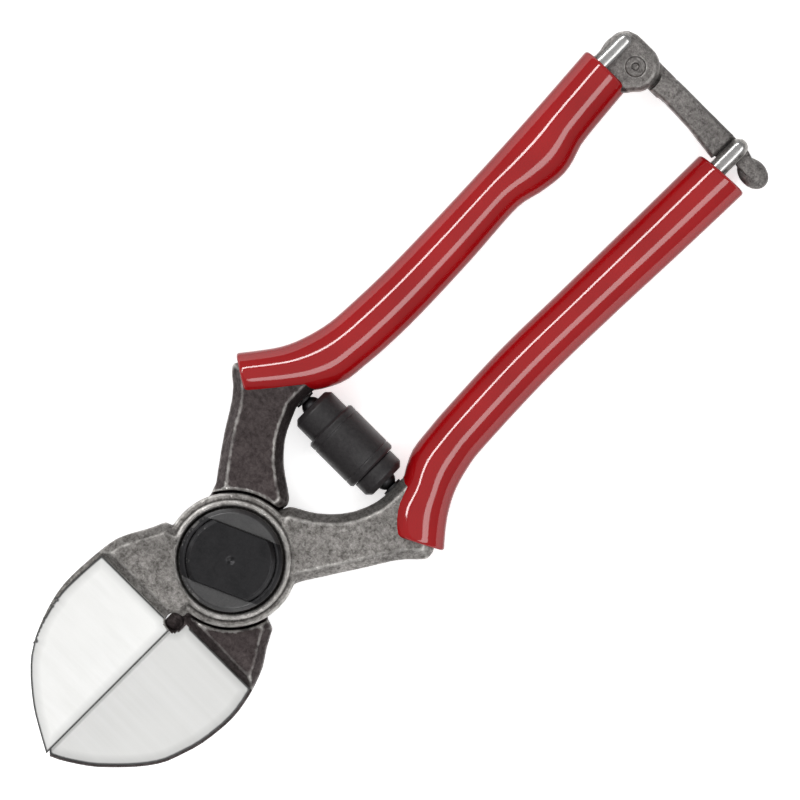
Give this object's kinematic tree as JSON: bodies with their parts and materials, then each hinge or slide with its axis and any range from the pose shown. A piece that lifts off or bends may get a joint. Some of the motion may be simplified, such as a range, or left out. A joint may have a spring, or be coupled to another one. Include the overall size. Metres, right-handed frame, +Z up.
{
  "type": "pruning shears",
  "caption": "Bypass pruning shears with two forged blades, dipped handles, a sleeved return spring and a swinging end catch, shown closed and latched.",
  "frame": {"origin": "on the pivot axis, at the flat underside of the pivot bolt's head, which is the plane the closed tool lies on", "axes": "+Y from the pivot to the blade tip, +X towards the upper (front) blade, +Z up out of the face that carries the nut"},
  "size_m": [0.0677, 0.2216, 0.0181],
  "materials": {
    "dark_forged_steel": "forged, oiled dark; blade ground bright",
    "forged_steel": "forged and tumbled; blade ground bright",
    "black_steel": "black oxide",
    "bright_steel": "bright",
    "bronze": "turned",
    "red_vinyl": "glossy dipped coating",
    "black_plastic": "satin moulded"
  },
  "bodies": {
    "rear_half": {"rear_arm": "dark_forged_steel", "rear_grip": "red_vinyl", "pivot_bolt": "black_steel", "pivot_bush": "bronze", "thrust_washer": "bronze", "spring_washer": "bright_steel", "pivot_nut": "black_steel", "rear_spring_peg": "black_steel", "catch_rivet": "bright_steel"},
    "front_half": {"front_arm": "forged_steel", "front_grip": "red_vinyl", "front_spring_peg": "black_steel", "catch_pin": "bright_steel"},
    "catch": {"catch_lever": "forged_steel"},
    "spring_rear_end": {"rear_spring_cup": "black_plastic", "coil_spring": "bright_steel"},
    "spring_sleeve": {"spring_guard": "black_plastic"},
    "spring_front_end": {"front_spring_cup": "black_plastic"}
  },
  "joints": [
    {"name": "blade_pivot", "type": "hinge", "parent": "rear_half", "child": "front_half", "pos_m": [0, 0, 0.0075], "axis": [0, 0, -1], "range_deg": [0, 21.5]},
    {"name": "catch_swing", "type": "hinge", "parent": "rear_half", "child": "catch", "pos_m": [0.015, -0.1514, 0.0075], "axis": [0, 0, 1], "range_deg": [0, 86.1]},
    {"name": "spring_swing", "type": "hinge", "parent": "rear_half", "child": "spring_rear_end", "pos_m": [0.0121, -0.0395, 0.0075], "axis": [0, 0, -1], "range_deg": [0, 10.9]},
    {"name": "sleeve_slide", "type": "slide", "parent": "spring_rear_end", "child": "spring_sleeve", "axis": [-1, 0, 0], "range_m": [0, 0.0072]},
    {"name": "spring_stroke", "type": "slide", "parent": "spring_rear_end", "child": "spring_front_end", "axis": [-1, 0, 0], "range_m": [0, 0.0144], "deforming": ["coil_spring"]}
  ],
  "couplings": [
    {"joint": "catch_swing", "follows": "blade_pivot", "ratio": 4},
    {"joint": "spring_swing", "follows": "blade_pivot", "ratio": 0.504},
    {"joint": "sleeve_slide", "follows": "blade_pivot", "m_per_rad": 0.0191},
    {"joint": "spring_stroke", "follows": "blade_pivot", "m_per_rad": 0.0382}
  ]
}
